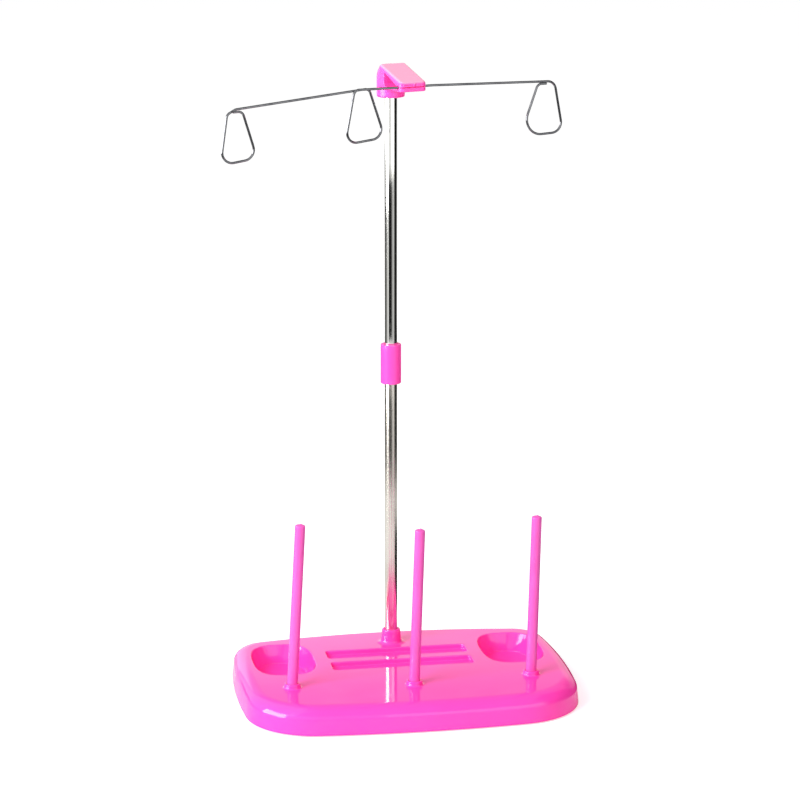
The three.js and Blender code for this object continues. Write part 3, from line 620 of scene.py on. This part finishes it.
skin = makeBase()
bottom, seat, radius = base["bottom"], base["bottom"] + footPost["seat"], footPost["radius"]
profile = rounded([(0, seat, 0), (footPost["pocket"], seat, 0), (footPost["pocket"], bottom, 0),
                   (radius, bottom, 0.4), (radius - 0.3, footPost["shoulder"], 0),
                   (footPost["neck"], footPost["top"], 0), (0, footPost["top"], 0)])
for x, y in feet.values():
    turned(skin, profile, shifted(x, y), 40)
body = skin.piece("baseBody", pinkGloss)
ribHeight = base["deck"] - rib["intoDeck"] - base["bottom"] - rib["recess"]
ribZ = base["bottom"] + rib["recess"] + ribHeight / 2
ends = [point for line in ribLines() for point in
        (place(line[0], line[1], ribZ), place(line[2], line[3], ribZ))]
ribs = grow(ribTree(), "ribs", ends, [(i, i + 1) for i in range(0, len(ends), 2)],
            {"Thickness": rib["thickness"] * mm, "Height": ribHeight * mm, "Material": pinkGloss})
stand = join("base_shell_body", [body.data, ribs], pinkGloss, 40)
bpy.data.objects.remove(body)
fit(stand, "base", "pink_plastic", "base_shell")
print("base made")

# Rubber feet
foot = {"radius": 5.0, "height": 2.6, "edge": 0.7, "dimple": 1.6, "dimpleDepth": 0.35}
profile = rounded([(0, foot["dimpleDepth"], 0), (foot["dimple"], foot["dimpleDepth"], 0.3),
                   (foot["dimple"] + 0.5, 0, 0.3), (foot["radius"], 0, foot["edge"]),
                   (foot["radius"], foot["height"], 0.2), (0, foot["height"], 0)])
for name, (x, y) in feet.items():
    skin = Skin()
    turned(skin, profile, shifted(x, y), 48)
    pad = skin.piece("rubber_pad_" + name, rubberBlack)
    fit(pad, "base", "foot_rubber", "rubber_foot_" + name)
print("feet made")

# Spool pins
pinSizes = {"foot": 4.2, "tip": 3.95, "length": 141.0, "dome": 1.5, "edge": 1.1, "gate": 0.7,
            "gateHeight": 0.6, "seam": 0.05, "seamSpan": 0.998, "gateShift": 0.5, "footEdge": 0.6,
            "steps": 24, "points": 64}


def makePin(name, pin):
    sizes = pinSizes
    lean = math.radians(pin["lean"])
    start = base["deck"] + collar["height"]
    length = sizes["length"]
    shoulder = length - sizes["dome"]
    edge, steps = sizes["footEdge"], sizes["steps"]
    side = [(0, 0), (sizes["foot"] - edge, 0), (sizes["foot"], edge)]
    side += [(sizes["foot"] + (sizes["tip"] - sizes["foot"]) * i / steps,
              edge + (shoulder - edge) * i / steps) for i in range(1, steps)]
    dome = rounded([(sizes["tip"], shoulder - 3, 0), (sizes["tip"], length - 0.75, sizes["edge"]),
                    (sizes["gate"] + 0.6, length, 0.5), (sizes["gate"], length + 0.1, 0.3),
                    (sizes["gate"] - 0.1, length + sizes["gateHeight"], 0.15),
                    (0, length + sizes["gateHeight"], 0)], 6)
    profile = side + dome

    def spot(x, y, z):
        # A faint seam stands on both sides, where the halves of the mould met
        reach = math.hypot(x, y)
        if reach > 3 and 1 < z < shoulder and abs(x) / reach > sizes["seamSpan"]:
            x *= 1 + sizes["seam"] / reach
        if z > length + 0.05:  # the gate's mark stands a little off the middle
            x += sizes["gateShift"]
        z -= pin["seated"]
        return (pin["x"] + x * math.cos(lean) + z * math.sin(lean), pin["y"] + y,
                start - x * math.sin(lean) + z * math.cos(lean))

    skin = Skin()
    turned(skin, profile, spot, sizes["points"])
    piece = skin.piece("spool_pin_" + name + "_body", pinkSatin)
    fit(piece, name + "_pin", "pin_plastic", "spool_pin_" + name)


for name, pin in pins.items():
    makePin(name, pin)
print("pins made")

# Pole tubes and the sleeve between them
pole = {"radius": 5.0, "wall": 0.9, "edge": 0.2, "lowerFoot": 4.7, "lowerTop": 250.7,
        "upperFoot": 252.9, "upperTop": 480.8}
sleeve = {"bottom": 236.0, "length": 31.6, "radius": 8.2, "bore": 5.3, "web": 1.6, "edge": 0.9}


def upright(x, y, z):
    return (x, y, z)


for name, low, high, material, body in (
        ("lower", pole["lowerFoot"], pole["lowerTop"], tubeBrushed, "lower_pole"),
        ("upper", pole["upperFoot"], pole["upperTop"], tubeBright, "upper_pole")):
    bore = pole["radius"] - pole["wall"]
    corners = [(bore, low + 3, 0), (bore, low, pole["edge"]), (pole["radius"], low, pole["edge"]),
               (pole["radius"], high, pole["edge"]), (bore, high, pole["edge"]), (bore, high - 3, 0)]
    profile = rounded(corners, 4)
    profile.append(profile[0])
    skin = Skin()
    turned(skin, profile, upright, 96)
    tube = skin.piece(name + "_tube_body", material)
    fit(tube, body, "chromed_tube", name + "_tube")

webLow = sleeve["bottom"] + (sleeve["length"] - sleeve["web"]) / 2
webHigh = webLow + sleeve["web"]
top = sleeve["bottom"] + sleeve["length"]
corners = [(0, webLow, 0), (sleeve["bore"], webLow, 0.4), (sleeve["bore"], sleeve["bottom"], 0.3),
           (sleeve["radius"], sleeve["bottom"], sleeve["edge"]), (sleeve["radius"], top, sleeve["edge"]),
           (sleeve["bore"], top, 0.3), (sleeve["bore"], webHigh, 0.4), (0, webHigh, 0)]
skin = Skin()
turned(skin, rounded(corners, 6), upright, 96)
joint = skin.piece("coupling_sleeve_body", pinkPale)
fit(joint, "lower_pole", "pink_plastic", "coupling_sleeve")
print("pole made")

# The clip, turned on the pole; forward is the way its mouth points
clip = {
    "bottom": 462.6, "turn": 17.1, "radius": 11.0, "height": 24.8, "topRound": 5.5,
    "topRoundHeight": 11.0, "bottomRound": 1.0, "socket": 5.3, "socketDepth": 18.5,
    "width": 22.6, "back": 3.0, "strapHeight": 26.0, "reach": 39.0, "roofDrop": 10.7,
    "edge": 2.3, "corner": 3.4, "lipRound": 2.2, "tongue": 8.2, "tongueTop": 10.0,
    "wallFront": 10.8, "roofThickness": 3.3, "jaw": 7.0, "jawTop": 11.4, "mouth": 0.5,
    "buttonSide": 0.7, "buttonHeight": 13.4, "buttonRadius": 0.9, "slotFrom": -8, "slotTo": -0.4,
    "slotBack": (13.0, 13.5), "slotFront": (12.7, 13.9), "slack": 0.5, "flare": 0.6, "cutter": 14,
    "stations": (8, 14, 20, 26, 32), "steps": 10, "voxel": 0.3, "softening": 0.5, "passes": 4,
}
wire = {"radius": 0.95, "hold": 1.3, "setback": 4.5, "pitch": 2.6, "neck": 4.5, "foot": 8.0,
        "wideNeck": 7.5, "wideFoot": 12.0, "arm": 20.0, "straight": 18.0, "tip": 7.6,
        "crossing": (0.9, 3.4), "bendSteps": 14, "sides": 20}
wireForward = clip["reach"] - wire["setback"]
wireHeight = clip["jawTop"] + clip["mouth"] / 2


def headPoint(side, forward, height):
    turn = math.radians(clip["turn"])
    return (side * math.cos(turn) + forward * math.sin(turn),
            side * math.sin(turn) - forward * math.cos(turn), clip["bottom"] + height)


def roofAt(forward):
    slope = clip["roofDrop"] / (clip["reach"] - clip["back"])
    return clip["strapHeight"] - slope * (forward - clip["back"])


def rolled(distance, radius):
    # How far a round edge has fallen away at this distance into it
    return radius - math.sqrt(max(radius ** 2 - distance ** 2, 0)) if distance > 0 else 0


def strapSection(forward):
    # The strap across its width: a narrowing front, round roof edges and small lower edges
    front = clip["reach"]
    half = clip["width"] / 2 - rolled(forward - front + clip["corner"], clip["corner"])
    high = roofAt(forward) - rolled(forward - front + clip["lipRound"], clip["lipRound"])
    edge = min(clip["edge"], high - clip["tongue"] - 1)
    return [(half, clip["tongue"] + 0.5), *arc((half - edge, high - edge), edge, 0, math.pi / 2, 6),
            *arc((edge - half, high - edge), edge, math.pi / 2, math.pi, 6),
            (-half, clip["tongue"] + 0.5), (0.5 - half, clip["tongue"]), (half - 0.5, clip["tongue"])]


def solid(name, rings):
    # A closed solid through rings of points
    skin = Skin()
    made = skin.stack(rings)
    skin.faces += [tuple(reversed(made[0])), tuple(made[-1])]
    return skin.piece(name, pinkPaintedSheen)


def across(name, outline, half):
    # A solid from side to side, drawn in side view
    return solid(name, [[headPoint(side, forward, height) for forward, height in outline]
                        for side in (-half, half)])


def above(x, y, z):
    return (x, y, z + clip["bottom"])


def makeClip():
    front, jaw, low = clip["reach"], clip["reach"] - clip["jaw"], clip["jawTop"]
    high = low + clip["mouth"]
    back, wall, tongue = clip["back"], clip["wallFront"], clip["tongueTop"]
    slack, flare, steps = clip["slack"], clip["flare"], clip["steps"]
    bend = front - clip["corner"]
    stations = [back, back + 0.4, *clip["stations"], bend]
    stations += [bend + clip["corner"] * math.sin(math.pi / 2 * i / steps) for i in range(1, steps + 1)]
    strap = solid("strap", [[headPoint(side, f, height) for side, height in strapSection(f)]
                            for f in stations])
    window = across("window", rounded([
        (wall, tongue, 1.5), (wall, roofAt(wall) - clip["roofThickness"], 0.8), (jaw - 1, high + 0.7, 1),
        (jaw + slack, high, 0), (jaw + slack, low, 0), (jaw - 1, tongue, 1)], 4, True), clip["cutter"])
    hold = wire["hold"]
    tilt = math.asin(clip["mouth"] / 2 / hold)
    over = arc((wireForward, wireHeight), hold, math.pi - tilt, tilt, steps)
    beneath = arc((wireForward, wireHeight), hold, -tilt, tilt - math.pi, steps)
    mouth = across("mouth", [
        (jaw - slack, high), *over, (front - slack, high), (front + 0.3, high + flare),
        (front + 0.3, low - flare), (front - slack, low), *beneath, (jaw - slack, low)], clip["cutter"])
    (backLow, backHigh), (frontLow, frontHigh) = clip["slotBack"], clip["slotFront"]
    slot = solid("slot", [[headPoint(side, f, h) for f, h in (
        (front - slack, backLow), (front + slack, frontLow), (front + slack, frontHigh),
        (front - slack, backHigh))] for side in (clip["slotFrom"], clip["slotTo"])])
    radius = clip["buttonRadius"]
    button = solid("button", [[headPoint(clip["buttonSide"] + r * math.cos(a), f,
                                         clip["buttonHeight"] + r * math.sin(a))
                               for a in [math.pi * i / 8 for i in range(16)]] for r, f in
                              ((radius, front - 1), (radius, front + 0.05), (0.6, front + 0.3))])
    tower = Skin()
    rise = clip["height"] - clip["topRoundHeight"]
    profile = rounded([(0, 0, 0), (clip["radius"], 0, clip["bottomRound"]), (clip["radius"], rise, 0)], 4)
    profile += [(clip["radius"] - clip["topRound"] * (1 - math.cos(a)),
                 rise + clip["topRoundHeight"] * math.sin(a))
                for a in quarter[1:]]
    turned(tower, [*profile, (0, clip["height"])], above, 96)
    tower = tower.piece("tower", pinkPaintedSheen)
    bore = Skin()
    turned(bore, [(0, -1), (clip["socket"], -1), (clip["socket"], clip["socketDepth"]),
                  (0, clip["socketDepth"])], above, 96)
    bore = bore.piece("bore", pinkPaintedSheen)
    # The outer form is remeshed and softened, and the close fits are cut sharply after that
    work = (("DIFFERENCE", window), ("UNION", tower), ("UNION", button), ("DIFFERENCE", slot),
            ("REMESH", None), ("DIFFERENCE", mouth), ("DIFFERENCE", bore))
    for kind, other in work:
        if kind == "REMESH":
            even = strap.modifiers.new("even", "REMESH")
            even.mode, even.voxel_size, even.use_smooth_shade = "VOXEL", clip["voxel"] * mm, True
            soften = strap.modifiers.new("soften", "SMOOTH")
            soften.factor, soften.iterations = clip["softening"], clip["passes"]
        else:
            step = strap.modifiers.new(kind, "BOOLEAN")
            step.operation, step.solver, step.object = kind, "EXACT", other
    bpy.context.view_layer.update()
    mesh = bpy.data.meshes.new_from_object(strap.evaluated_get(bpy.context.evaluated_depsgraph_get()))
    for used in (strap, window, mouth, slot, button, tower, bore):
        bpy.data.objects.remove(used)
    return finishPiece("guide_clip_body", mesh, pinkPaintedSheen, 50)


head = makeClip()
fit(head, "head", "pink_plastic", "guide_clip")
print("clip made,", len(head.data.polygons), "faces")

# The bent wire with its three thread loops: at the neck and the foot of each, how far to the side
# and how high its middle is, the width there, and the slope in degrees
loops = {
    "left": {"neck": (-146, -11, 11.5, 9.4), "foot": (-143.1, -47.6, 29.3, 7.2)},
    "middle": {"neck": (-41.2, 0.3, 13.3, 0), "foot": (-38.7, -39.2, 34.5, 5.3)},
    "right": {"neck": (118.7, -4.1, 13.4, 7.9), "foot": (114.85, -44.1, 37.2, 2.3)},
}


def loopCorners(loop):
    corners = []
    for x, height, width, slope in (loop["neck"], loop["foot"]):
        halfX = width / 2 * math.cos(math.radians(slope))
        halfZ = width / 2 * math.sin(math.radians(slope))
        corners += [(x - halfX, height - halfZ), (x + halfX, height + halfZ)]
    return corners


def wireBends():
    leftNeckLeft, leftNeckRight, leftFootLeft, leftFootRight = loopCorners(loops["left"])
    midNeckLeft, midNeckRight, midFootLeft, midFootRight = loopCorners(loops["middle"])
    rightNeckLeft, rightNeckRight, rightFootLeft, rightFootRight = loopCorners(loops["right"])
    tip, neck, foot, arm = wire["tip"], wire["neck"], wire["foot"], wire["arm"]
    share, lift = wire["crossing"]
    # For each bend: where it is in front view, how many pitches it stands back, and its radius
    return [
        ((leftNeckRight[0] - tip, leftNeckRight[1]), 0, 0),
        (leftNeckRight, 0, neck), (leftFootRight, 0.3, foot), (leftFootLeft, 0.9, foot),
        (leftNeckLeft, 1, neck), ((leftNeckLeft[0] + tip * share, leftNeckLeft[1] + lift), 1, neck),
        (midNeckRight, 1, neck), (midFootRight, 0.8, foot), (midFootLeft, 0.2, foot),
        (midNeckLeft, 0, neck), ((-wire["straight"], 0), 0, arm), ((wire["straight"], 0), 0, arm),
        (rightNeckRight, 0, wire["wideNeck"]), (rightFootRight, 0.1, foot),
        (rightFootLeft, 0.7, wire["wideFoot"]),
        (rightNeckLeft, 1, neck), ((rightNeckLeft[0] + tip, rightNeckLeft[1]), 1, 0),
    ]


def bentWireTree():
    tree = bpy.data.node_groups.new("bentWire", "GeometryNodeTree")
    tree.interface.new_socket("Bends", in_out="INPUT", socket_type="NodeSocketGeometry")
    tree.interface.new_socket("Wire Radius", in_out="INPUT", socket_type="NodeSocketFloat")
    for name in ("Bend Steps", "Sides"):
        tree.interface.new_socket(name, in_out="INPUT", socket_type="NodeSocketInt")
    tree.interface.new_socket("Material", in_out="INPUT", socket_type="NodeSocketMaterial")
    tree.interface.new_socket("Wire", in_out="OUTPUT", socket_type="NodeSocketGeometry")
    add, link = tree.nodes.new, tree.links.new
    given, result = add("NodeGroupInput"), add("NodeGroupOutput")
    path = add("GeometryNodeMeshToCurve")
    bend = add("GeometryNodeFilletCurve")
    bend.mode = "POLY"
    radius = add("GeometryNodeInputNamedAttribute")
    radius.data_type = "FLOAT"
    radius.inputs["Name"].default_value = "bendRadius"
    section = add("GeometryNodeCurvePrimitiveCircle")
    sweep = add("GeometryNodeCurveToMesh")
    sweep.inputs["Fill Caps"].default_value = True
    real, paint = add("GeometryNodeRealizeInstances"), add("GeometryNodeSetMaterial")
    link(given.outputs["Bends"], path.inputs["Mesh"])
    link(path.outputs[0], bend.inputs["Curve"])
    link(radius.outputs["Attribute"], bend.inputs["Radius"])
    link(given.outputs["Bend Steps"], bend.inputs["Count"])
    link(bend.outputs[0], sweep.inputs["Curve"])
    link(given.outputs["Wire Radius"], section.inputs["Radius"])
    link(given.outputs["Sides"], section.inputs["Resolution"])
    link(section.outputs[0], sweep.inputs["Profile Curve"])
    link(sweep.outputs[0], real.inputs[0])
    link(real.outputs[0], paint.inputs["Geometry"])
    link(given.outputs["Material"], paint.inputs["Material"])
    link(paint.outputs[0], result.inputs[0])
    return tree


bends = wireBends()
corners = [place(*headPoint(side, wireForward - step * wire["pitch"], wireHeight + height))
           for (side, height), step, radius in bends]
mesh = grow(bentWireTree(), "wire", corners, [(i, i + 1) for i in range(len(bends) - 1)],
            {"Wire Radius": wire["radius"] * mm, "Bend Steps": wire["bendSteps"],
             "Sides": wire["sides"], "Material": wireSteel},
            {"bendRadius": [radius * mm for at, step, radius in bends]})
guide = finishPiece("thread_guide_wire_body", mesh, wireSteel, 50)
fit(guide, "wire", "wire", "thread_guide_wire")
print("wire made,", len(guide.data.polygons), "faces")


# Studio: floor, panels that only the gloss sees, world, lamp and camera
studio = {
    "floor": 14.0, "cameraGlow": 0.55, "world": 0.5, "mirrorWorld": 0.42,
    "key": 74.0, "keyAt": (-1.89, -1.30, 1.45), "keyTarget": (0, 0, 0.15), "keySize": (1.5, 1.5),
    "paper": (0.86, 0.86, 0.86, 1), "facet": 5,
}
# What the gloss mirrors, in metres round the pole. Azimuths run from the camera's side to the
# picture's right: flat shades on the floor, then upright panels swept along distance and height
shades = [(-146, -120, 0.06), (-120, -100, 0.14), (-100, -80, 0.17), (-80, -62, 0.5), (-62, -40, 0.85),
          (-40, -36, 0.3), (-36, 12, 0.012), (12, 20, 0.12), (20, 38, 0.4), (38, 58, 0.58), (58, 66, 0.25),
          (66, 78, 0.1), (78, 146, 0.01), (146, 214, 1.0)]
shadePath = [(0.68, 0.0005), (2.4, 0.0005), (2.4, 0.15)]
panels = [
    # Painted shade: a dark sheet on the floor beside the base's right end stands in, in the reflections, for
    # the floor in the stand's own shadow
    {"azimuth": (72, 150), "path": [(0.14, 0.0005), (0.42, 0.0005)], "light": 0.0},
    {"azimuth": (-90, -48), "path": [(2.38, 0.01), (2.38, 1.34)], "light": 11.0},
    {"azimuth": (14, 62), "path": [(2.5, 0.01), (2.5, 1.4)], "light": 1.9},
    {"azimuth": (-34, 14), "path": [(2.5, 0.01), (2.5, 1.6)], "light": 0.95},
    {"azimuth": (-150, -34), "path": [(2.9, 0.06), (2.9, 1.7), (2.0, 3.4), (0.8, 4.0)], "light": 1.1},
    {"azimuth": (70, 132), "path": [(2.5, 0.06), (2.5, 1.6), (1.8, 3.2)], "light": 0.01},
    {"azimuth": (132, 214), "path": [(1.0, 0.01), (1.0, 0.335), (1.0, 0.355), (1.0, 0.378), (1.0, 0.395),
                                     (1.0, 0.413), (1.0, 0.6)],
     "light": [1.0, 1.08, 0.93, 0.77, 0.6, 0.45, 0.4], "lean": (0.35, 1.6)},
]
camera = {"at": (-386.46, -2262.36, 776.06), "forward": (0.16667, 0.95768, -0.23467),
          "right": (0.98519, -0.17145, 0.00005), "lens": 134.59, "sensor": 36, "clip": (0.05, 50)}


def onlyTo(objectMade, *rays):
    for ray in ("camera", "diffuse", "glossy", "transmission", "shadow"):
        setattr(objectMade, "visible_" + ray, ray in rays)


def makeFloor():
    half = studio["floor"]
    mesh = bpy.data.meshes.new("floor")
    mesh.from_pydata([(-half, -half, 0), (half, -half, 0), (half, half, 0), (-half, half, 0)],
                     [], [(0, 1, 2, 3)])
    finish = Finish("paperFloor")
    seen = finish.node("ShaderNodeLightPath", {}, {}, "Is Camera Ray")
    clear = finish.node("ShaderNodeLightPath", {}, {}, "Is Transmission Ray")
    paper = finish.node("ShaderNodeBsdfDiffuse", {}, {"Color": studio["paper"]})
    glow = finish.node("ShaderNodeEmission", {}, {
        "Color": (1, 1, 1, 1), "Strength": (seen + clear) * studio["cameraGlow"]})
    both = finish.node("ShaderNodeAddShader", {}, {0: paper, 1: glow})
    finish.node("ShaderNodeOutputMaterial", {}, {"Surface": both})
    mesh.materials.append(finish.material)
    floor = bpy.data.objects.new("floor", mesh)
    bpy.context.collection.objects.link(floor)


def makePanels():
    toCamera = math.atan2(camera["at"][1], camera["at"][0])
    finish = Finish("panelLight")
    glow = finish.node("ShaderNodeAttribute", {"attribute_name": "glow"}, {}, "Fac")
    light = finish.node("ShaderNodeEmission", {}, {"Strength": glow})
    finish.node("ShaderNodeOutputMaterial", {}, {"Surface": light})
    panelLight = finish.material
    flat = [{"azimuth": (start, end), "path": shadePath, "light": light} for start, end, light in shades]
    for panel in flat + panels:
        start, end = panel["azimuth"]
        steps = max(2, round((end - start) / studio["facet"]))
        count = len(panel["path"])
        points = []
        for k in range(steps + 1):
            turn = toCamera + math.radians(start + (end - start) * k / steps)
            points += [place(reach / mm * math.cos(turn), reach / mm * math.sin(turn), height / mm)
                       for reach, height in panel["path"]]
        faces = [(i, i + count, i + count + 1, i + 1) for i in range(count * steps) if (i + 1) % count]
        mesh = bpy.data.meshes.new("panel")
        mesh.from_pydata(points, [], faces)
        lights = panel["light"] if isinstance(panel["light"], list) else [panel["light"]] * count
        first, last = panel.get("lean", (1, 1))
        glows = [light * (first + (last - first) * k / steps) for k in range(steps + 1) for light in lights]
        mesh.attributes.new("glow", "FLOAT", "POINT").data.foreach_set("value", glows)
        mesh.materials.append(panelLight)
        sheet = bpy.data.objects.new("panel", mesh)
        bpy.context.collection.objects.link(sheet)
        onlyTo(sheet, "glossy")


def lamp(name, at, target, size, power):
    light = bpy.data.lights.new(name, "AREA")
    light.shape = "RECTANGLE"
    light.size, light.size_y = size
    light.energy = power
    holder = bpy.data.objects.new(name, light)
    holder.visible_glossy = False
    holder.location = at
    holder.rotation_euler = (Vector(target) - Vector(at)).to_track_quat("-Z", "Y").to_euler()
    bpy.context.collection.objects.link(holder)


def makeWorld():
    world = bpy.data.worlds.new("studio")
    world.use_nodes = True
    tree = world.node_tree
    tree.nodes.clear()
    rays = tree.nodes.new("ShaderNodeLightPath")
    seen = Signal(tree, rays.outputs["Is Camera Ray"]) + Signal(tree, rays.outputs["Is Transmission Ray"])
    mirror = Signal(tree, rays.outputs["Is Glossy Ray"])
    plain = studio["world"]
    strength = seen * (1 - plain) + mirror * (studio["mirrorWorld"] - plain) + plain
    back = tree.nodes.new("ShaderNodeBackground")
    back.inputs["Color"].default_value = (1, 1, 1, 1)
    tree.links.new(strength.socket, back.inputs["Strength"])
    last = tree.nodes.new("ShaderNodeOutputWorld")
    tree.links.new(back.outputs[0], last.inputs["Surface"])
    bpy.context.scene.world = world


def makeCamera():
    data = bpy.data.cameras.new("camera")
    data.lens, data.sensor_width, data.sensor_fit = camera["lens"], camera["sensor"], "HORIZONTAL"
    data.clip_start, data.clip_end = camera["clip"]
    eye = bpy.data.objects.new("camera", data)
    forward = Vector(camera["forward"]).normalized()
    right = Vector(camera["right"]).normalized()
    up = right.cross(forward).normalized()
    turn = Matrix((right, up, -forward)).transposed().to_4x4()
    eye.matrix_world = Matrix.Translation(place(*camera["at"])) @ turn
    bpy.context.collection.objects.link(eye)
    bpy.context.scene.camera = eye


makeFloor()
makePanels()
makeWorld()
lamp("key", studio["keyAt"], studio["keyTarget"], studio["keySize"], studio["key"])
makeCamera()
bpy.context.scene.view_settings.view_transform = "Standard"
print("studio made")
